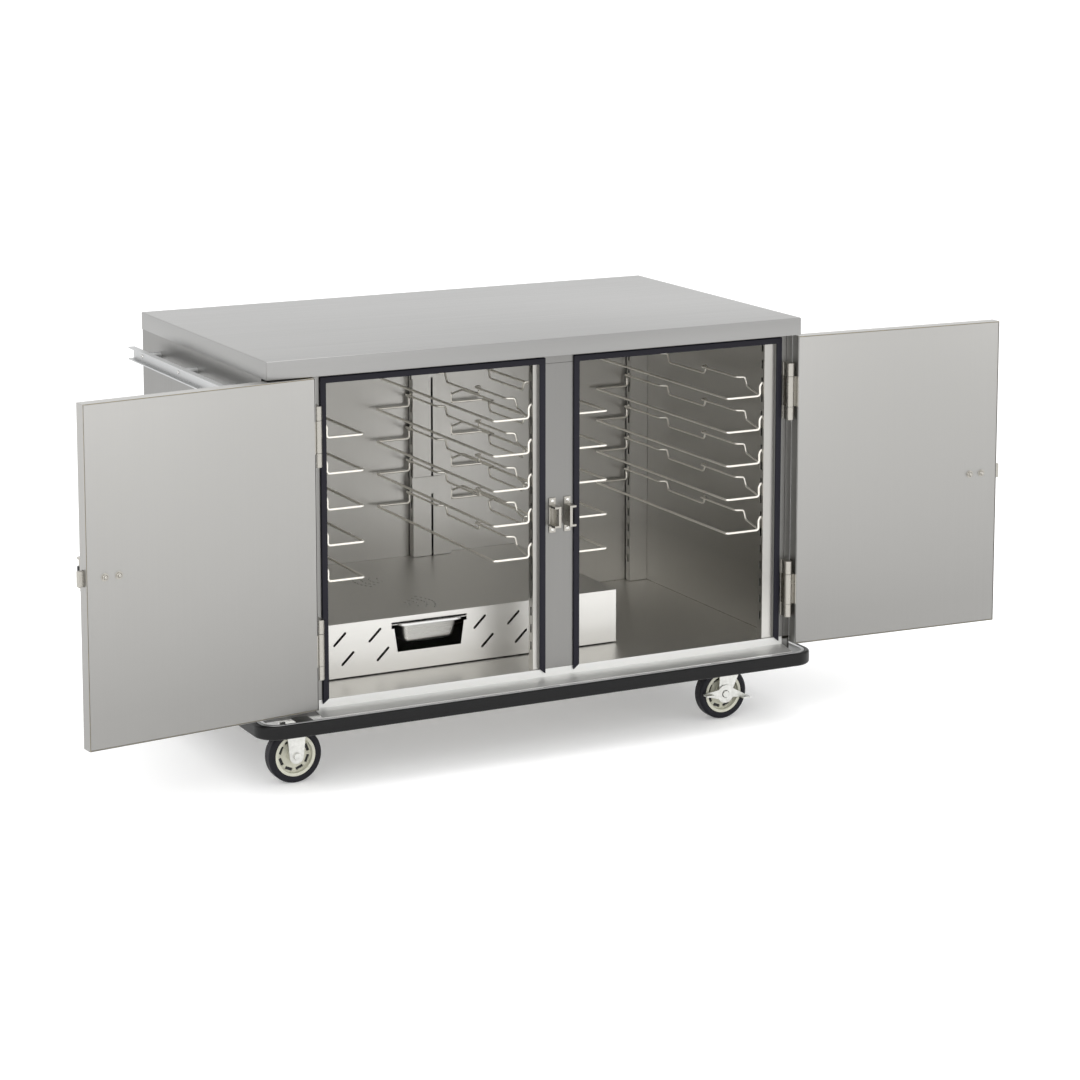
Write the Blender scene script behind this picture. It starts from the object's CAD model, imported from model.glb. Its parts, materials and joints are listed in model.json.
# %% [markdown]
# # A heated tray trolley in stainless steel
# This lesson dresses a food service trolley. The solid parts come from a fixed frame: the cabinet,
# its two doors, the tray slides, the heater, the bumper and the casters. Each step says what a
# piece is on the real trolley, how it could be made in Blender, and why one way was chosen.

# %% Load the frame
import json
import math
import bpy
from mathutils import Matrix, Vector

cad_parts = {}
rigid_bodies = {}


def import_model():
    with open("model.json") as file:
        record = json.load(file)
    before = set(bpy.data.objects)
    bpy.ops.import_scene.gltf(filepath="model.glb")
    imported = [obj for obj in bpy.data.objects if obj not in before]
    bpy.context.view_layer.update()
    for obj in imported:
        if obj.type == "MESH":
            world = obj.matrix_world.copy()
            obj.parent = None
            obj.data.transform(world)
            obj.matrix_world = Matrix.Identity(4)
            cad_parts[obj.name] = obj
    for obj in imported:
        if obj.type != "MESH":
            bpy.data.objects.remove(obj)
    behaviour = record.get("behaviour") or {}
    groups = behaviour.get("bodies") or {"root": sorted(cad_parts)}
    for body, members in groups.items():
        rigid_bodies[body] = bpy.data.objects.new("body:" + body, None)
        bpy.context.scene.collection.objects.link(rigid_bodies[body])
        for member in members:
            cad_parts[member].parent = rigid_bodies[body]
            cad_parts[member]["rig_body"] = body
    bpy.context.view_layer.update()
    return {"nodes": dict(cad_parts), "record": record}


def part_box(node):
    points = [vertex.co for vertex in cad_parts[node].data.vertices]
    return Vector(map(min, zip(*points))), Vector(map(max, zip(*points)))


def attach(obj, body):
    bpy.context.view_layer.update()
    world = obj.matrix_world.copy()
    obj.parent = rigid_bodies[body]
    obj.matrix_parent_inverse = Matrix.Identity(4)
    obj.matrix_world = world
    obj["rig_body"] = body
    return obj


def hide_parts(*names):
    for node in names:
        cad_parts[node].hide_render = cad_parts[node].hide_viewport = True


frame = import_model()
cabinet_low, cabinet_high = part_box("top_cap")
print("nodes in the frame:", len(frame["nodes"]))
print("cabinet top, metres:", [round(v, 3) for v in cabinet_high - cabinet_low])

# %% [markdown]
# ## Looking at it
# A long lens set well back keeps the cabinet's uprights nearly parallel, as in a catalogue. The
# camera stands in front and to the left, a little above the top. The lens is slid down instead of
# tilted, so the uprights stay upright.

# %% Camera
MM = 0.001
camera_place = Vector((-3157, -6410, 2092)) * MM
camera_turn = 0.4733
camera_dip = 0.1506
camera_data = bpy.data.cameras.new("camera")
camera_data.lens = 101.2
camera_data.sensor_width = 36
camera_data.shift_y = -0.2222
camera = bpy.data.objects.new("camera", camera_data)
camera.location = camera_place
camera.rotation_euler = (math.pi / 2 - camera_dip, 0, -camera_turn)
bpy.context.scene.collection.objects.link(camera)
bpy.context.scene.camera = camera
print("lens:", camera_data.lens, "mm")

# %% [markdown]
# ## Light and floor
# Brushed steel shows what stands round it, so the light is a pale room with a few large soft
# panels: one overhead, one at the left front, a weaker one at the right and a faint one in front,
# which reaches into the cabinet. The floor is a plain pale sheet that glows a little, so that the
# shadow on it stays light. It is marked as stage, because it isn't part of the trolley.

# %% Floor
floor_side = 300
floor_glow = 0.2


def deselect():
    for thing in bpy.context.view_layer.objects:
        thing.select_set(False)


def flat_material(name, colour, roughness):
    made = bpy.data.materials.new(name)
    made.use_nodes = True
    shader = made.node_tree.nodes["Principled BSDF"]
    shader.inputs["Base Color"].default_value = (*colour, 1)
    shader.inputs["Roughness"].default_value = roughness
    return made


deselect()
bpy.ops.mesh.primitive_plane_add(size=floor_side, location=(0, 0, 0))
floor = bpy.context.object
floor.name = "floor"
floor_paint = flat_material("pale floor", (0.86, 0.86, 0.86), 0.8)
floor_shader = floor_paint.node_tree.nodes["Principled BSDF"]
floor_shader.inputs["Emission Color"].default_value = (1, 1, 1, 1)
floor_shader.inputs["Emission Strength"].default_value = floor_glow
floor.data.materials.append(floor_paint)
print("floor:", floor_side, "m square")

# %% Soft light
world = bpy.data.worlds.new("pale room")
world.use_nodes = True
backdrop = world.node_tree.nodes["Background"]
backdrop.inputs["Color"].default_value = (1.0, 1.0, 1.0, 1)
backdrop.inputs["Strength"].default_value = 1.2
bpy.context.scene.world = world
bpy.context.scene.view_settings.view_transform = "Standard"


def soft_panel(name, place, aim, side, power):
    data = bpy.data.lights.new(name, "AREA")
    data.shape = "SQUARE"
    data.size = side
    data.energy = power
    panel = bpy.data.objects.new(name, data)
    panel.location = place
    panel.rotation_euler = (Vector(aim) - Vector(place)).to_track_quat("-Z", "Y").to_euler()
    bpy.context.scene.collection.objects.link(panel)
    return panel


middle = Vector((0, 0, 0.6))
soft_panel("overhead panel", (-0.5, -0.5, 4.5), middle, 3.5, 60)
soft_panel("left panel", (-4.0, -4.0, 3.0), middle, 2.5, 50)
soft_panel("right panel", (5.0, -3.0, 2.5), middle, 2.5, 20)
soft_panel("front panel", (0.6, -4.6, 1.5), middle, 2.2, 6)

# %% [markdown]
# ## Finishes
# Every finish is worked out from the place of the surface, so no picture is needed. Sheet steel is
# brushed in one direction: a noise squeezed thin across the brushing makes fine lines in both the
# roughness and the height. A second, very broad noise lets the sheen drift a little, as handled
# steel does. The door skins and the inner box shade with height instead: the doors are paler at
# the top, and the box is paler at its floor.

# %% Finish helpers
def new_finish(name, colour, metallic, roughness):
    made = flat_material(name, colour, roughness)
    shader = made.node_tree.nodes["Principled BSDF"]
    shader.inputs["Metallic"].default_value = metallic
    return made, made.node_tree, shader


def noise_node(tree, scale, detail=2.0):
    place = tree.nodes.new("ShaderNodeTexCoord")
    turn = tree.nodes.new("ShaderNodeMapping")
    turn.inputs["Scale"].default_value = scale
    noise = tree.nodes.new("ShaderNodeTexNoise")
    noise.inputs["Scale"].default_value = 1.0
    noise.inputs["Detail"].default_value = detail
    tree.links.new(place.outputs["Object"], turn.inputs["Vector"])
    tree.links.new(turn.outputs["Vector"], noise.inputs["Vector"])
    return noise


def spread(tree, source, low, high):
    """Stretch a noise, which keeps near its middle, to the range from low to high."""
    ramp = tree.nodes.new("ShaderNodeMapRange")
    ramp.inputs["From Min"].default_value = 0.25
    ramp.inputs["From Max"].default_value = 0.75
    ramp.inputs["To Min"].default_value = low
    ramp.inputs["To Max"].default_value = high
    tree.links.new(source, ramp.inputs["Value"])
    return ramp.outputs["Result"]


def tint(tree, shader, source, dark, light):
    blend = tree.nodes.new("ShaderNodeMix")
    blend.data_type = "RGBA"
    blend.inputs["A"].default_value = (*dark, 1)
    blend.inputs["B"].default_value = (*light, 1)
    tree.links.new(source, blend.inputs["Factor"])
    tree.links.new(blend.outputs["Result"], shader.inputs["Base Color"])


def relief(tree, shader, source, strength, depth):
    bump = tree.nodes.new("ShaderNodeBump")
    bump.inputs["Strength"].default_value = strength
    bump.inputs["Distance"].default_value = depth
    tree.links.new(source, bump.inputs["Height"])
    tree.links.new(bump.outputs["Normal"], shader.inputs["Normal"])


def by_height(tree, dark_z, light_z):
    """A value that goes from 0 at the first height to 1 at the second, in metres."""
    place = tree.nodes.new("ShaderNodeTexCoord")
    parts = tree.nodes.new("ShaderNodeSeparateXYZ")
    ramp = tree.nodes.new("ShaderNodeMapRange")
    ramp.inputs["From Min"].default_value = dark_z
    ramp.inputs["From Max"].default_value = light_z
    tree.links.new(place.outputs["Object"], parts.inputs["Vector"])
    tree.links.new(parts.outputs["Z"], ramp.inputs["Value"])
    return ramp.outputs["Result"]


def scaled(colour, factor):
    return tuple(min(1, c * factor) for c in colour)


def hazed(name, colour, metallic, roughness, grain, smoothest, roughest, detail=2.0):
    """A plain finish whose roughness wanders between two values."""
    made, tree, shader = new_finish(name, colour, metallic, roughness)
    haze = noise_node(tree, grain, detail)
    tree.links.new(spread(tree, haze.outputs["Fac"], smoothest, roughest),
                   shader.inputs["Roughness"])
    return made


def brushed_steel(name, colour, roughness, grain, fade=None):
    """Brushed sheet. With a fade, it goes from dark at one height to light at the other."""
    made, tree, shader = new_finish(name, colour, 1.0, roughness)
    lines = noise_node(tree, grain, 3.0)
    if fade:
        dark, light = scaled(colour, 0.84), scaled(colour, 1.19)
        tint(tree, shader, by_height(tree, *fade), dark, light)
    else:
        drift = noise_node(tree, (1.3, 1.3, 1.3), 1.0)
        dark, light = scaled(colour, 0.93), scaled(colour, 1.05)
        tint(tree, shader, spread(tree, drift.outputs["Fac"], 0, 1), dark, light)
    tree.links.new(spread(tree, lines.outputs["Fac"], roughness - 0.05, roughness + 0.07),
                   shader.inputs["Roughness"])
    relief(tree, shader, lines.outputs["Fac"], 0.03, 0.0001)
    return made


# %% Steel finishes
along_x = (3, 900, 900)
along_y = (900, 3, 900)
along_z = (900, 900, 3)
door_fade = (0.25, 0.9)
inner_fade = (0.34, 0.19)
steel_top = brushed_steel("steel brushed along", (0.31, 0.308, 0.302), 0.34, along_x)
steel_side = brushed_steel("steel brushed upright", (0.235, 0.232, 0.224), 0.34, along_z)
steel_door = brushed_steel("steel door skin", (0.345, 0.34, 0.328), 0.36, along_z, door_fade)
steel_inner = brushed_steel("steel inside", (0.50, 0.49, 0.465), 0.34, along_z, inner_fade)
steel_sill = brushed_steel("steel sill", (0.70, 0.70, 0.685), 0.45, along_x)
steel_heater = brushed_steel("steel heater housing", (0.74, 0.73, 0.70), 0.42, along_x)
steel_pan = brushed_steel("steel pan", (0.72, 0.72, 0.71), 0.28, along_x)
print("steel finishes: 7")

# %% [markdown]
# The screws are bright chrome, much smoother than the sheet. The hinges and latches have a darker
# satin chrome, and the wires of the tray slides a paler, softer one. Zinc is duller and slightly
# mottled, and the extruded aluminium of the rail has faint lines along its length.

# %% Plated and extruded metal
chrome = hazed("bright chrome", (0.78, 0.77, 0.75), 1.0, 0.12, (40, 40, 40), 0.08, 0.18)
satin_chrome = hazed("satin chrome", (0.40, 0.385, 0.35), 1.0, 0.3, (260, 260, 60), 0.24, 0.36, 3.0)
wire_chrome = hazed("wire chrome", (0.88, 0.85, 0.78), 0.8, 0.34, (60, 60, 60), 0.28, 0.4)
zinc, zinc_tree, zinc_shader = new_finish("zinc plate", (0.66, 0.66, 0.63), 1.0, 0.35)
zinc_spots = noise_node(zinc_tree, (120, 120, 120), 4.0)
tint(zinc_tree, zinc_shader, spread(zinc_tree, zinc_spots.outputs["Fac"], 0, 1),
     (0.56, 0.56, 0.53), (0.74, 0.74, 0.71))
zinc_tree.links.new(spread(zinc_tree, zinc_spots.outputs["Fac"], 0.26, 0.42),
                    zinc_shader.inputs["Roughness"])
aluminium = brushed_steel("mill aluminium", (0.50, 0.505, 0.505), 0.42, along_y)
heat_steel, heat_tree, heat_shader = new_finish("heat tinted steel", (0.28, 0.24, 0.21), 1.0, 0.45)
heat_bands = noise_node(heat_tree, (9, 30, 30), 2.0)
tint(heat_tree, heat_shader, spread(heat_tree, heat_bands.outputs["Fac"], 0, 1),
     (0.22, 0.19, 0.2), (0.36, 0.29, 0.2))
print("plated finishes made")

# %% [markdown]
# Rubber and plastic are not metal. The seals and the bumper's insert are near black with a satin
# skin and a very fine pebble. The wheels have a dark tread and a cream moulded core.

# %% Rubber and plastic
def moulded(name, colour, roughness, pebble, depth, gloss=0.5):
    made, tree, shader = new_finish(name, colour, 0.0, roughness)
    grains = noise_node(tree, (pebble, pebble, pebble), 3.0)
    light = tuple(min(1, c * 1.15 + 0.004) for c in colour)
    tint(tree, shader, spread(tree, grains.outputs["Fac"], 0, 1), colour, light)
    tree.links.new(spread(tree, grains.outputs["Fac"], roughness - 0.06, roughness + 0.06),
                   shader.inputs["Roughness"])
    relief(tree, shader, grains.outputs["Fac"], 0.15, depth)
    shader.inputs["Specular IOR Level"].default_value = gloss
    return made


seal_rubber = moulded("seal rubber", (0.005, 0.0045, 0.010), 0.42, 900, 0.0001, 0.2)
bumper_vinyl = moulded("bumper vinyl", (0.004, 0.004, 0.0042), 0.36, 700, 0.0001, 0.2)
black_plastic = moulded("black plastic", (0.012, 0.012, 0.013), 0.40, 1200, 0.0001, 0.4)
tread_rubber = moulded("tread", (0.006, 0.0056, 0.009), 0.48, 500, 0.0002, 0.2)
core_plastic = moulded("cream core", (0.52, 0.515, 0.43), 0.42, 300, 0.0001, 0.4)
glass_wool = moulded("glass wool", (0.62, 0.50, 0.22), 0.9, 260, 0.002)
lamp_red = hazed("red lens", (0.55, 0.02, 0.015), 0.0, 0.12, (20, 20, 900), 0.08, 0.2)
print("rubber and plastic made")

# %% [markdown]
# ## Dressing the frame
# Each solid of the frame takes the finish of its real sheet, tube or casting.

# %% Give each solid its finish
finish_of = {
    "stainless": steel_side, "insulation": glass_wool, "red_lens": lamp_red,
    "black_plastic": black_plastic, "seal_rubber": seal_rubber, "chrome": chrome,
    "element": heat_steel, "pan_steel": steel_pan, "aluminium": aluminium, "zinc": zinc,
    "tyre": tread_rubber, "wheel_core": core_plastic,
}
own_finish = {
    "top_cap": steel_top, "sill": steel_sill, "cavity_liner": steel_inner,
    "pilasters": steel_inner, "heater_housing": steel_heater, "bumper_insert": bumper_vinyl,
    "frame_hinges": satin_chrome, "latch_keepers": satin_chrome,
    "left_door_hinges": satin_chrome, "right_door_hinges": satin_chrome,
    "left_latch_case": satin_chrome, "right_latch_case": satin_chrome,
    "left_latch_bolt": satin_chrome, "right_latch_bolt": satin_chrome,
}
slot_of = {part["node"]: part["material_slot"] for part in frame["record"]["subparts"]}


def dress(piece, finish):
    piece.data.materials.clear()
    piece.data.materials.append(finish)


for name, solid in frame["nodes"].items():
    dress(solid, own_finish.get(name, finish_of[slot_of[name]]))
print("dressed:", len(frame["nodes"]))

# %% [markdown]
# ## Tools of the bench
# A folded panel starts as a cube primitive at its real size. Modifiers then round its edges or
# give it the thickness of its sheet, and are applied, so that each finished piece is plain mesh
# with its object at the origin. Before an operator runs, everything is deselected, because an
# operator acts on all that is selected.

# %% Places
corner = Vector((cabinet_low.x, cabinet_low.y, 0))


def spot(point):
    """A place in millimetres from the cabinet's left front corner, at the floor."""
    return (Vector(point) - corner) / MM


# %% Bench helpers
def pick(piece):
    deselect()
    piece.select_set(True)
    bpy.context.view_layer.objects.active = piece
    return piece


def settle(piece, name):
    piece.name = name
    pick(piece)
    bpy.ops.object.transform_apply(location=True, rotation=True, scale=True)
    return piece


def modify(piece, kind, **settings):
    pick(piece)
    bpy.ops.object.modifier_add(type=kind)
    modifier = piece.modifiers[-1]
    for key, value in settings.items():
        setattr(modifier, key, value)
    bpy.ops.object.modifier_apply(modifier=modifier.name)
    return piece


def smooth(piece, degrees=35):
    pick(piece)
    bpy.ops.object.shade_smooth_by_angle(angle=math.radians(degrees))
    return piece


def edit(piece, mode="FACE"):
    pick(piece)
    bpy.ops.object.mode_set(mode="EDIT")
    bpy.ops.mesh.select_mode(type=mode)


def leave_edit():
    bpy.ops.object.mode_set(mode="OBJECT")


def choose_faces(piece, test):
    for part in (piece.data.vertices, piece.data.edges):
        for item in part:
            item.select = False
    for face in piece.data.polygons:
        face.select = test(face)


def choose_points(piece, test):
    """Select the points that pass a test, and open the piece with them selected."""
    for part in (piece.data.polygons, piece.data.edges):
        for item in part:
            item.select = False
    for vertex in piece.data.vertices:
        vertex.select = test(vertex)
    edit(piece, "VERT")


def outward(piece):
    edit(piece)
    bpy.ops.mesh.select_all(action="SELECT")
    bpy.ops.mesh.remove_doubles(threshold=1e-6)
    bpy.ops.mesh.normals_make_consistent(inside=False)
    leave_edit()
    return piece


def cube(name, low, high):
    low, high = Vector(low), Vector(high)
    deselect()
    bpy.ops.mesh.primitive_cube_add(size=1, location=(low + high) / 2, scale=high - low)
    return settle(bpy.context.object, name)


def soft_cube(name, low, high, radius, segments=3):
    piece = cube(name, low, high)
    modify(piece, "BEVEL", width=radius * MM, segments=segments, limit_method="ANGLE")
    return smooth(piece)


def rod(name, start, end, radius, sides):
    start, end = Vector(start), Vector(end)
    run = end - start
    deselect()
    bpy.ops.mesh.primitive_cylinder_add(vertices=sides, radius=radius * MM, depth=run.length)
    piece = bpy.context.object
    piece.rotation_mode = "QUATERNION"
    piece.rotation_quaternion = run.to_track_quat("Z", "Y")
    piece.location = (start + end) / 2
    settle(piece, name)
    return smooth(piece)


def join(name, pieces):
    deselect()
    for piece in pieces:
        piece.select_set(True)
    bpy.context.view_layer.objects.active = pieces[0]
    bpy.ops.object.join()
    pieces[0].name = name
    return pieces[0]


def fit(piece, finish, body, slot, *nodes):
    dress(piece, finish)
    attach(piece, body)
    if nodes:
        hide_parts(*nodes)
    return piece


print("bench ready")

# %% [markdown]
# ## Softened edges
# No folded or pressed edge is perfectly sharp, and the thin bright line along it is what makes
# metal look real. For most of the frame's solids, a copy of the mesh is merged, its flat triangles
# are dissolved into whole faces, and a small bevel rounds every corner. Weighted normals then keep
# the large flats looking flat.

# %% Soften the frame's solids
def soften(node, width, segments=2):
    piece = bpy.data.objects.new(node + "_finished", frame["nodes"][node].data.copy())
    bpy.context.scene.collection.objects.link(piece)
    edit(piece)
    bpy.ops.mesh.select_all(action="SELECT")
    bpy.ops.mesh.remove_doubles(threshold=1e-6)
    bpy.ops.mesh.dissolve_limited(angle_limit=math.radians(0.5))
    leave_edit()
    modify(piece, "BEVEL", width=width * MM, segments=segments, limit_method="ANGLE",
           angle_limit=math.radians(32))
    smooth(piece)
    modify(piece, "WEIGHTED_NORMAL", keep_sharp=True)
    body = frame["nodes"][node]["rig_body"]
    return fit(piece, own_finish.get(node, finish_of[slot_of[node]]), body, slot_of[node], node)


edge_width = {
    "left_side_panel": 0.4, "right_side_panel": 0.4, "back_panel": 0.4, "face_frame": 0.7,
    "mullion": 0.8, "sill": 0.5, "bay_cover": 0.4, "pilot_light": 0.8, "power_inlet": 0.8,
    "base_frame": 1.0, "bumper_channel": 0.7, "push_rail": 0.8, "frame_hinges": 1.0,
    "latch_keepers": 1.2, "left_latch_handle": 2.0, "right_latch_handle": 2.0,
    "thermostat_knob": 0.8, "pilasters": 0.3, "fixed_casters": 0.8, "swivel_plates": 0.8,
    "power_switch": 0.8,
    "left_door_hinges": 0.8, "right_door_hinges": 0.8, "left_latch_case": 1.4,
    "right_latch_case": 1.4, "left_latch_bolt": 1.5, "right_latch_bolt": 1.5,
    "front_swivel_fork": 0.9, "rear_swivel_fork": 0.9, "front_brake_pedal": 0.8,
    "rear_brake_pedal": 0.8, "front_swivel_axle": 0.8, "rear_swivel_axle": 0.8,
}
softened = {node: soften(node, width) for node, width in edge_width.items()}
print("softened:", len(softened))

# %% [markdown]
# ## The top
# The worktop is one sheet with its four sides turned down and welded at the corners. A cube loses
# its underside, its edges take a bend radius, and a modifier gives it the thickness of the sheet.

# %% Top
sheet = 1.2
bend = 3.0
burr = 0.3
worktop = cube("worktop", cabinet_low, cabinet_high)
choose_faces(worktop, lambda face: face.normal.z < -0.5)
edit(worktop)
bpy.ops.mesh.delete(type="FACE")
leave_edit()
modify(worktop, "BEVEL", width=bend * MM, segments=5, limit_method="ANGLE")
modify(worktop, "SOLIDIFY", thickness=sheet * MM, offset=-1, use_even_offset=True)
modify(worktop, "BEVEL", width=burr * MM, segments=2, limit_method="ANGLE",
       angle_limit=math.radians(60))
smooth(worktop)
fit(worktop, steel_top, "cabinet", "stainless", "top_cap")
print("worktop faces:", len(worktop.data.polygons))

# %% [markdown]
# ## Turned pieces and bent wire
# Two more helpers start from a single point. Extruded again and again, the point draws a profile or
# a route. Spun about an axle, the profile is a turned piece, as from a lathe. Given rounded corners
# and a thickness, the route is a bent wire.

# %% Point helpers
def route(name, points, closed=False):
    deselect()
    bpy.ops.mesh.primitive_plane_add(size=1, location=(0, 0, 0))
    piece = bpy.context.object
    edit(piece, "VERT")
    bpy.ops.mesh.select_all(action="SELECT")
    bpy.ops.mesh.merge(type="CENTER")
    bpy.ops.transform.translate(value=points[0])
    for before, after in zip(points, points[1:]):
        bpy.ops.mesh.extrude_vertices_move(
            TRANSFORM_OT_translate={"value": Vector(after) - Vector(before)})
    if closed:
        bpy.ops.mesh.select_all(action="SELECT")
        leave_edit()
        ends = (piece.data.vertices[0], piece.data.vertices[-1])
        for vertex in piece.data.vertices:
            vertex.select = vertex in ends
        edit(piece, "VERT")
        bpy.ops.mesh.edge_face_add()
    leave_edit()
    piece.name = name
    return piece


def turned(name, middle, axis, profile, steps=48):
    """Spin a profile of (radius, along) pairs, in millimetres, about an axis through middle."""
    middle, axis = Vector(middle), Vector(axis).normalized()
    out = axis.orthogonal().normalized()
    points = [middle + (out * radius + axis * along) * MM for radius, along in profile]
    piece = route(name, points)
    edit(piece, "VERT")
    bpy.ops.mesh.select_all(action="SELECT")
    bpy.ops.mesh.spin(steps=steps, angle=2 * math.pi, center=middle, axis=axis)
    leave_edit()
    outward(piece)
    return smooth(piece)


def arc(middle, radius, start, end, steps):
    """Points of an arc in a profile; angles in degrees from the outward direction."""
    turns = [math.radians(start + (end - start) * i / steps) for i in range(steps + 1)]
    return [(middle[0] + radius * math.cos(t), middle[1] + radius * math.sin(t)) for t in turns]


def bent_wire(name, points, diameter, bend_radius, closed=False):
    piece = route(name, [Vector(point) * MM for point in points], closed)
    edit(piece, "VERT")
    bpy.ops.mesh.select_all(action="SELECT")
    bpy.ops.mesh.bevel(offset=bend_radius * MM, segments=5, affect="VERTICES",
                       clamp_overlap=True)
    leave_edit()
    pick(piece)
    bpy.ops.object.convert(target="CURVE")
    piece.data.bevel_depth = diameter / 2 * MM
    piece.data.bevel_resolution = 3
    piece.data.use_fill_caps = True
    bpy.ops.object.convert(target="MESH")
    outward(piece)
    return smooth(piece, 50)


def copy_of(piece, name, move=(0, 0, 0), flip=(1, 1, 1), turn=0.0):
    twin = bpy.data.objects.new(name, piece.data.copy())
    bpy.context.scene.collection.objects.link(twin)
    twin.scale = flip
    twin.rotation_euler = (0, 0, turn)
    twin.location = move
    settle(twin, name)
    return outward(twin) if flip[0] * flip[1] * flip[2] < 0 else twin


print("point helpers ready")

# %% [markdown]
# ## Tray slides
# Each slide is a welded pair of chromed wires. The lower one is the ledge that the tray rests on;
# it turns up at both ends and hooks into the slotted strips. The upper one steps up and in twice,
# which keeps the tray straight. One slide is bent and then copied to every level of every rack.

# %% One tray slide
wire = 6.0
guide_wire = 5.0
reach = 94
rise = 35
low_run = 14
jog = 19
hook = 9
hook_in = 4.5
hook_past = 7.6
racks = ("rack_left_outer", "rack_left_inner", "rack_right_inner", "rack_right_outer")
rack_low, rack_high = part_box(racks[0])
run_front = spot(rack_low).y + wire / 2
run_back = spot(rack_high).y - wire / 2


def slide(name):
    top = rise
    ledge = bent_wire(name + "_ledge", [
        (-hook_in, run_front, top - hook), (-hook_in, run_front, top),
        (wire, run_front, top - hook), (wire - 1, run_front, 0), (reach, run_front, 0),
        (reach, run_back, 0), (wire - 1, run_back, 0), (wire, run_back, top - hook),
        (-hook_in, run_back, top), (-hook_in, run_back, top - hook)], wire, 9)
    start = run_front + wire
    end = run_back - wire
    depth = end - start
    first, second, third = start + 0.08 * depth, start + 0.38 * depth, start + 0.68 * depth
    step = 10
    high = wire + jog
    guide = bent_wire(name + "_guide", [
        (wire, start, 3), (wire, first, low_run), (wire, first + step, top),
        (high, first + 2 * step, top), (high, second - step, top), (wire, second, top),
        (wire, second + step, low_run), (wire, third - step, low_run), (wire, third, top),
        (high, third + step, top), (high, end - 2 * step, top), (wire, end, top - hook - 4)],
        guide_wire, 5)
    return join(name, [ledge, guide])


pattern = slide("slide_pattern")
print("slide faces:", len(pattern.data.polygons))

# %% All tray slides
levels = 5
for node in racks:
    rack_low, rack_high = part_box(node)
    inward = 1 if node in (racks[0], racks[2]) else -1
    outer = rack_low if inward > 0 else rack_high
    strip_face = spot(outer).x + inward * hook_past
    lowest = spot(rack_low).z + wire / 2
    pitch = (spot(rack_high).z - wire / 2 - rise - lowest) / (levels - 1)
    copies = []
    for level in range(levels):
        place = corner + Vector((strip_face, 0, lowest + level * pitch)) * MM
        copies.append(copy_of(pattern, node + "_wires", place, (inward, 1, 1)))
    fit(join(node + "_wires", copies), wire_chrome, "cabinet", "chrome", node)
bpy.data.objects.remove(pattern)
print("racks wired:", len(racks))

# %% [markdown]
# ## Doors
# Each door is a folded tray of sheet, closed on the inside by a flat liner. Between the tray's
# folded edge and the liner runs a thin dark joint. The doors' new pieces are modelled closed, with
# the hinge pin on the upright axis, and then turned open about the frame's own hinge.

# %% Hanging a door
pins = {joint["name"]: joint for joint in frame["record"]["behaviour"]["joints"]}
door_edge = 13.0
door_wide = 558.0
door_thick = 30.0
door_low, door_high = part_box("left_door_shell")
sides = ("left", "right")


def hang(piece, side):
    joint = pins[side + "_door_hinge"]
    place = Vector(joint["pos_m"])
    angle = max(abs(limit) for limit in joint["range_deg"])
    flip = (1, 1, 1) if side == "left" else (-1, 1, 1)
    turn = -math.radians(angle) if side == "left" else math.radians(angle)
    return copy_of(piece, side + "_" + piece.name, (place.x, place.y, 0), flip, turn)


print("door, mm:", door_wide, "by", round((door_high.z - door_low.z) / MM, 1))

# %% Door liners
reveal = 0.9
liner_deep = 6.0
fold = 1.2
inset = fold + reveal
liner = soft_cube("door_inside",
                  Vector((door_edge + inset, door_thick / 2 - liner_deep, 0)) * MM
                  + Vector((0, 0, door_low.z + inset * MM)),
                  Vector((door_edge + door_wide - inset, door_thick / 2, 0)) * MM
                  + Vector((0, 0, door_high.z - inset * MM)), 1.4, 4)
for side in sides:
    fit(hang(liner, side), steel_door, side + "_door", "stainless", side + "_door_liner")
bpy.data.objects.remove(liner)
for side in sides:
    shell = soften(side + "_door_shell", 0.55, 3)
    dress(shell, steel_door)
print("liners and shells made")

# %% [markdown]
# Two domed nuts on washers come through the liner beside the latch. Each is a turned piece.

# %% Domed nuts
latch_z = pins["left_door_hinge"]["pos_m"][2]
free_edge = door_edge + door_wide
nuts = []
for nut_back in (43, 76):
    middle = Vector((free_edge - nut_back, door_thick / 2, 0)) * MM + Vector((0, 0, latch_z))
    profile = [(0, 9.5)] + arc((0, 4.5), 5.0, 78, 0, 6) + [(5.6, 4.0), (6.2, 3.4), (6.2, 1.4),
               (8.6, 1.4), (9.0, 1.0), (9.0, 0), (0, 0)]
    nuts.append(turned("nut", middle, (0, 1, 0), profile, 36))
nuts = join("domed_nuts", nuts)
for side in sides:
    fit(hang(nuts, side), satin_chrome, side + "_door", "chrome")
bpy.data.objects.remove(nuts)
print("domed nuts:", 2 * len(sides))

# %% [markdown]
# ## Seals
# A push-in rubber seal runs round both openings. The body of the frame's seal gets a generous
# round edge. A thin bead along the middle, flush with its face, stands for the lip that the door
# presses on.

# %% Seals
soften("door_gaskets", 2.4, 4)
seal_low, seal_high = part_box("door_gaskets")
seal_half = 7.5
bead_wide = 3.4
bead_foot = 9
opening_top = spot(seal_high).z - 2 * seal_half
bead_y = spot(seal_low).y + bead_wide / 2
door_lefts = (spot(seal_low).x, spot(seal_high).x - door_wide)
beads = []
for left in door_lefts:
    x0, x1 = left + seal_half, left + door_wide - seal_half
    z0, z1 = spot(seal_low).z + bead_foot, opening_top + seal_half
    bead = bent_wire("seal_bead", [(x0, bead_y, z0), (x0, bead_y, z1), (x1, bead_y, z1),
                                   (x1, bead_y, z0)], bead_wide, 6)
    beads.append(copy_of(bead, "seal_bead", corner))
    bpy.data.objects.remove(bead)
fit(join("seal_beads", beads), seal_rubber, "cabinet", "seal_rubber")
print("seals:", len(door_lefts))

# %% [markdown]
# ## Bumper
# The black insert is a thick extrusion with full, round edges, pushed into a metal channel.

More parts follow.
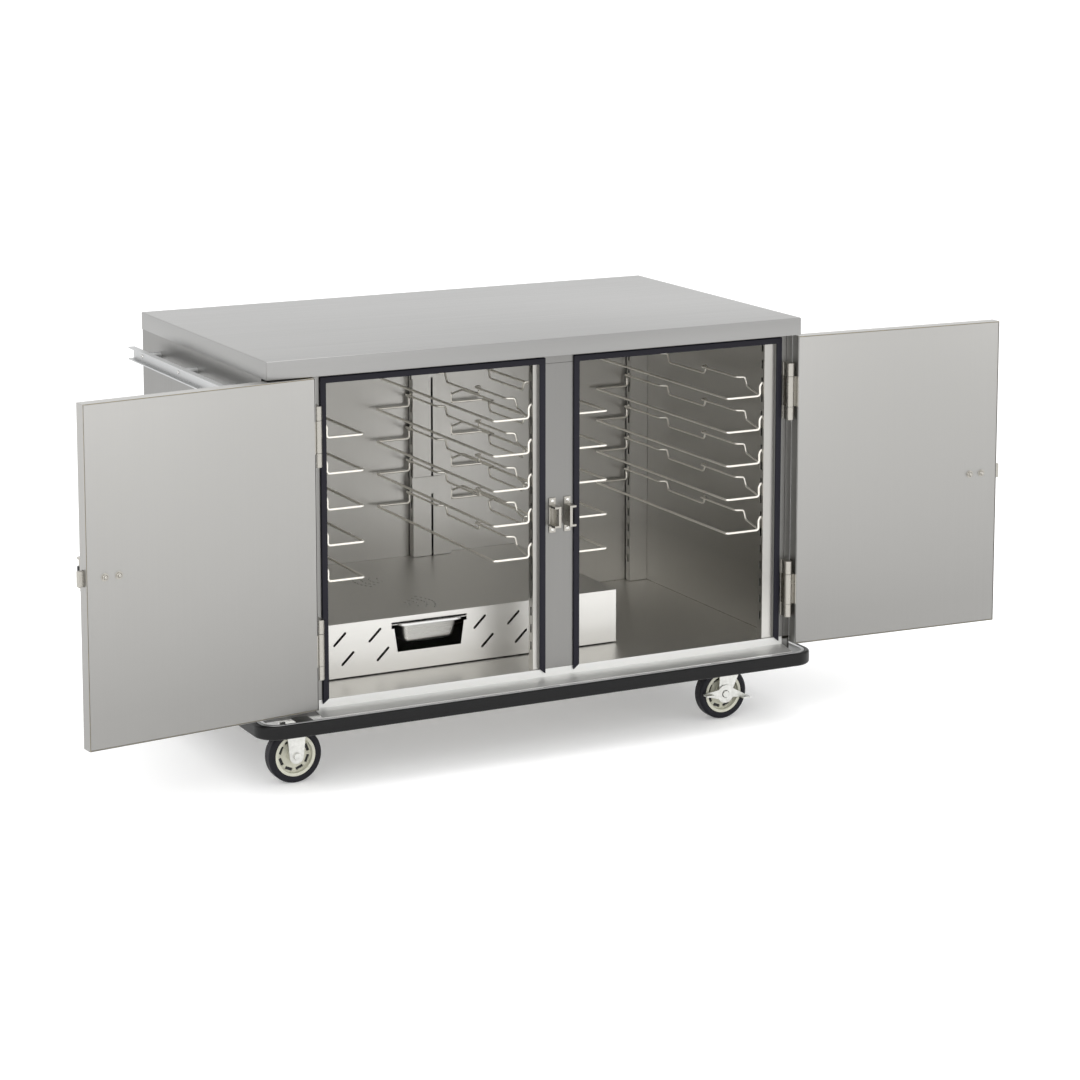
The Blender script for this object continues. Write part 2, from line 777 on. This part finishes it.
# %% Bumper insert
bumper_low, bumper_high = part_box("bumper_insert")
bumper_radius = 52
bumper_deep = 12
bumper_round = 5.5
bumper = cube("bumper_extrusion", bumper_low, bumper_high)
choose_faces(bumper, lambda face: abs(face.normal.z) > 0.5)
edit(bumper)
bpy.ops.mesh.delete(type="FACE")
leave_edit()
modify(bumper, "BEVEL", width=bumper_radius * MM, segments=14, limit_method="ANGLE")
modify(bumper, "SOLIDIFY", thickness=bumper_deep * MM, offset=-1, use_even_offset=True)
modify(bumper, "BEVEL", width=bumper_round * MM, segments=5, limit_method="ANGLE",
       angle_limit=math.radians(60))
smooth(bumper, 40)
fit(bumper, bumper_vinyl, "cabinet", "seal_rubber", "bumper_insert")
print("bumper faces:", len(bumper.data.polygons))

# %% [markdown]
# ## Casters
# A tyre is a turned ring with round shoulders and a thin moulding line round its tread. The cream
# cores keep the frame's shape with softened edges, and a dark web inside each core closes its
# slots, so that they look deep.

# %% Tyres
wheels = [node[5:] for node in frame["nodes"] if node.startswith("tyre_")]
tyre_wall = 15.5
round_off = 6.0
web_profile = [(18, 2), (38, 2), (39, 1), (39, -1), (38, -2), (18, -2), (18, 2)]
for wheel in wheels:
    low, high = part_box("tyre_" + wheel)
    middle = (low + high) / 2
    radius = (high.z - low.z) / 2 / MM
    half = (high.y - low.y) / 2 / MM
    inner = radius - tyre_wall
    side_run = [(inner, -half + 2), (inner, half - 2), (inner + 1.5, half - 0.6),
                (inner + 3.5, half), (radius - round_off, half)]
    shoulder = arc((radius - round_off, half - round_off), round_off, 90, 0, 8)
    tread = [(radius, 0.9), (radius - 0.5, 0.5), (radius - 0.5, -0.5), (radius, -0.9)]
    far_shoulder = arc((radius - round_off, -half + round_off), round_off, 0, -90, 8)
    far_side = [(inner + 3.5, -half), (inner + 1.5, -half + 0.6), (inner, -half + 2)]
    tyre = turned("tyre_ring_" + wheel, middle, (0, 1, 0),
                  side_run + shoulder + tread + far_shoulder + far_side, 96)
    body = frame["nodes"]["tyre_" + wheel]["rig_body"]
    fit(tyre, tread_rubber, body, "tyre", "tyre_" + wheel)
    soften("core_" + wheel, 1.0, 3)
    web = turned("core_web_" + wheel, middle, (0, 1, 0), web_profile, 48)
    fit(web, black_plastic, body, "wheel_core")
print("wheels:", len(wheels))

# %% [markdown]
# ## Humidity pan
# The pan is pressed from one sheet: it tapers to the bottom, its corners are round, and its rim is
# turned out and down. A cube loses its top, the bottom is drawn in, the rim is extruded, and the
# modifiers add the corner radius and the sheet.

# %% Pan
pan_low, pan_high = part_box("humidity_pan")
rim_wide = 9.0
rim_drop = 5.0
pan_sheet = 0.9
pan_corner = 15
pan_taper = (0.86, 0.88, 1)
pan = cube("pressed_pan", (pan_low.x + rim_wide * MM, pan_low.y + rim_wide * MM, pan_low.z),
           (pan_high.x - rim_wide * MM, pan_high.y - rim_wide * MM, pan_high.z))
choose_faces(pan, lambda face: face.normal.z > 0.5)
edit(pan)
bpy.ops.mesh.delete(type="FACE")
leave_edit()
choose_faces(pan, lambda face: face.normal.z < -0.5)
edit(pan)
bpy.ops.transform.resize(value=pan_taper)
leave_edit()
modify(pan, "BEVEL", width=pan_corner * MM, segments=6, limit_method="ANGLE")

# %% Pan rim
choose_points(pan, lambda vertex: vertex.co.z > pan_high.z - 1e-5)
bpy.ops.mesh.select_mode(type="EDGE")
bpy.ops.mesh.extrude_edges_move(TRANSFORM_OT_translate={"value": (0, 0, 0)})
pan_span = pan_high - pan_low
grow_x = pan_span.x / (pan_span.x - 2 * rim_wide * MM)
grow_y = pan_span.y / (pan_span.y - 2 * rim_wide * MM)
bpy.ops.transform.resize(value=(grow_x, grow_y, 1))
bpy.ops.mesh.extrude_edges_move(TRANSFORM_OT_translate={"value": (0, 0, -rim_drop * MM)})
leave_edit()
outward(pan)
modify(pan, "SOLIDIFY", thickness=pan_sheet * MM, offset=-1, use_even_offset=True)
modify(pan, "BEVEL", width=1.4 * MM, segments=3, limit_method="ANGLE",
       angle_limit=math.radians(40))
smooth(pan, 40)
fit(pan, steel_pan, "pan", "pan_steel", "humidity_pan")
print("pan faces:", len(pan.data.polygons))

# %% [markdown]
# ## Seams of the inner box
# The inner box is welded from sheets. A thin rounded bead runs along each corner where the floor
# meets a wall, and up the back corners. It catches the light, so the box reads as a box.

# %% Corner beads
liner_low, liner_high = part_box("cavity_liner")
bead_size = 1.6
bead_in = 1.2
bead_start = 8
left_x = liner_low.x + bead_in * MM
right_x = liner_high.x - bead_in * MM
back_y = liner_high.y - bead_in * MM
front_y = liner_low.y + bead_start * MM
floor_z = liner_low.z + bead_in * MM
roof_z = liner_high.z - bead_in * MM
corners = [
    ((left_x, front_y, floor_z), (left_x, back_y, floor_z)),
    ((right_x, front_y, floor_z), (right_x, back_y, floor_z)),
    ((left_x, back_y, floor_z), (right_x, back_y, floor_z)),
    ((left_x, back_y, floor_z), (left_x, back_y, roof_z)),
    ((right_x, back_y, floor_z), (right_x, back_y, roof_z)),
    ((left_x, back_y, roof_z), (right_x, back_y, roof_z)),
]
corner_beads = [rod("corner_bead", start, end, bead_size, 12) for start, end in corners]
fit(join("liner_corner_beads", corner_beads), satin_chrome, "cabinet", "stainless")
print("corner beads:", len(corners))

# %% [markdown]
# ## Jamb strip
# Between the service bay and the left door frame the wall's glass wool would show. A folded strip
# of sheet closes that gap: one leg covers the wool's front and a short leg turns back to the bay.

# %% Jamb strip
wool_low, wool_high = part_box("insulation")
cover_low, cover_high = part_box("bay_cover")
strip_t = 1.0
strip_gap = 0.3
wool_gap = 0.5
frame_gap = 0.6
side_wool_top = 53
strip_y = wool_low.y - wool_gap * MM
strip_x0 = cover_high.x + strip_gap * MM
strip_x1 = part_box("face_frame")[0].x - frame_gap * MM
strip_z0, strip_z1 = cover_low.z + 1 * MM, wool_high.z - side_wool_top * MM
front_leg = soft_cube("jamb_front", (strip_x0, strip_y - strip_t * MM, strip_z0),
                      (strip_x1, strip_y, strip_z1), 0.3)
side_leg = soft_cube("jamb_side", (strip_x0, strip_y - strip_t * MM, strip_z0),
                     (strip_x0 + strip_t * MM, cover_low.y - strip_gap * MM, strip_z1), 0.3)
fit(join("jamb_strip", [front_leg, side_leg]), steel_side, "cabinet", "stainless")
print("jamb strip, metres:", round(strip_x1 - strip_x0, 3), round(strip_z1 - strip_z0, 3))

# %% [markdown]
# ## Heater housing
# The housing is one folded sheet, with slanted slots and the pan's opening in its front and two
# groups of small vents in its top. Its lower edge stands a little clear of the floor, so a dark
# line shows under it.

# %% Heater housing
housing = soften("heater_housing", 0.5, 3)
housing_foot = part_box("heater_housing")[0].z
foot_band = 1.2
floor_gap = 3.0
choose_points(housing, lambda vertex: vertex.co.z < housing_foot + foot_band * MM)
bpy.ops.transform.translate(value=(0, 0, floor_gap * MM))
leave_edit()
print("housing faces:", len(housing.data.polygons))

# %% [markdown]
# ## Screws and bolts
# A pan-head screw is a turned dome with a cross cut into it. The keeper and rail screws of the
# frame are replaced by such screws, and the back panel gets a row round its edge, as a panel that
# has to come off for service does.

# %% Screw
def screw(name, size=4.5, high=2.6):
    profile = [
        (0, high), (size * 0.35, high * 0.98), (size * 0.65, high * 0.85),
        (size * 0.88, high * 0.6), (size, high * 0.25), (size, -0.5), (0, -0.5)]
    head = turned(name, (0, 0, 0), (0, 0, 1), profile, 24)
    slot_long, slot_wide = size * 1.1, size * 0.26
    cutter = join("cross", [
        cube("cross", Vector((-slot_long / 2, -slot_wide / 2, high * 0.35)) * MM,
             Vector((slot_long / 2, slot_wide / 2, high * 2)) * MM),
        cube("cross", Vector((-slot_wide / 2, -slot_long / 2, high * 0.34)) * MM,
             Vector((slot_wide / 2, slot_long / 2, high * 2.1)) * MM)])
    modify(head, "BOOLEAN", operation="DIFFERENCE", solver="EXACT", use_self=True, object=cutter)
    bpy.data.objects.remove(cutter)
    return smooth(head)


def aimed(piece, name, place, direction, spin=0.0):
    twin = bpy.data.objects.new(name, piece.data.copy())
    bpy.context.scene.collection.objects.link(twin)
    twin.rotation_mode = "QUATERNION"
    turn = Vector(direction).to_track_quat("Z", "Y")
    twin.rotation_quaternion = turn @ Matrix.Rotation(spin, 3, "Z").to_quaternion()
    twin.location = place
    return settle(twin, name)


screw_pattern = screw("screw_pattern")
print("screw faces:", len(screw_pattern.data.polygons))

# %% Keeper and rail screws
keeper_low, keeper_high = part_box("latch_keepers")
keeper_wide = 17.0
ear = 16.0
ear_depth = 3
heads = []
spin = 0.4
for x in (keeper_low.x + keeper_wide / 2 * MM, keeper_high.x - keeper_wide / 2 * MM):
    for z in (keeper_low.z + ear / 2 * MM, keeper_high.z - ear / 2 * MM):
        place = (x, keeper_high.y - ear_depth * MM, z)
        heads.append(aimed(screw_pattern, "screw", place, (0, -1, 0), spin))
        spin += 0.9
rail_low, rail_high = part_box("push_rail")
rail_out = 43
post_places = (189, 430.5, 671)
for post in post_places:
    place = (cabinet_low.x - rail_out * MM, cabinet_low.y + post * MM,
             (rail_low.z + rail_high.z) / 2)
    heads.append(aimed(screw_pattern, "screw", place, (-1, 0, 0), spin))
    spin += 0.7
fit(join("fixing_screw_heads", heads), chrome, "cabinet", "chrome", "fixing_screws")
print("keeper and rail screws:", len(heads))

# %% Back screws
back_low, back_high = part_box("back_panel")
edge_in = 14 * MM
foot_in = 44 * MM
across = 8
upright = 4
x_run = (back_low.x + edge_in, back_high.x - edge_in)
z_run = (back_low.z + foot_in, cabinet_low.z - edge_in)
heads = []
for i in range(across):
    x = x_run[0] + (x_run[1] - x_run[0]) * i / (across - 1)
    for z in z_run:
        heads.append(aimed(screw_pattern, "screw", (x, back_high.y, z), (0, 1, 0), spin))
        spin += 1.1
for i in range(1, upright):
    z = z_run[0] + (z_run[1] - z_run[0]) * i / upright
    for x in x_run:
        heads.append(aimed(screw_pattern, "screw", (x, back_high.y, z), (0, 1, 0), spin))
        spin += 1.3
fit(join("back_screws", heads), zinc, "cabinet", "zinc")
bpy.data.objects.remove(screw_pattern)
print("back screws:", len(heads))
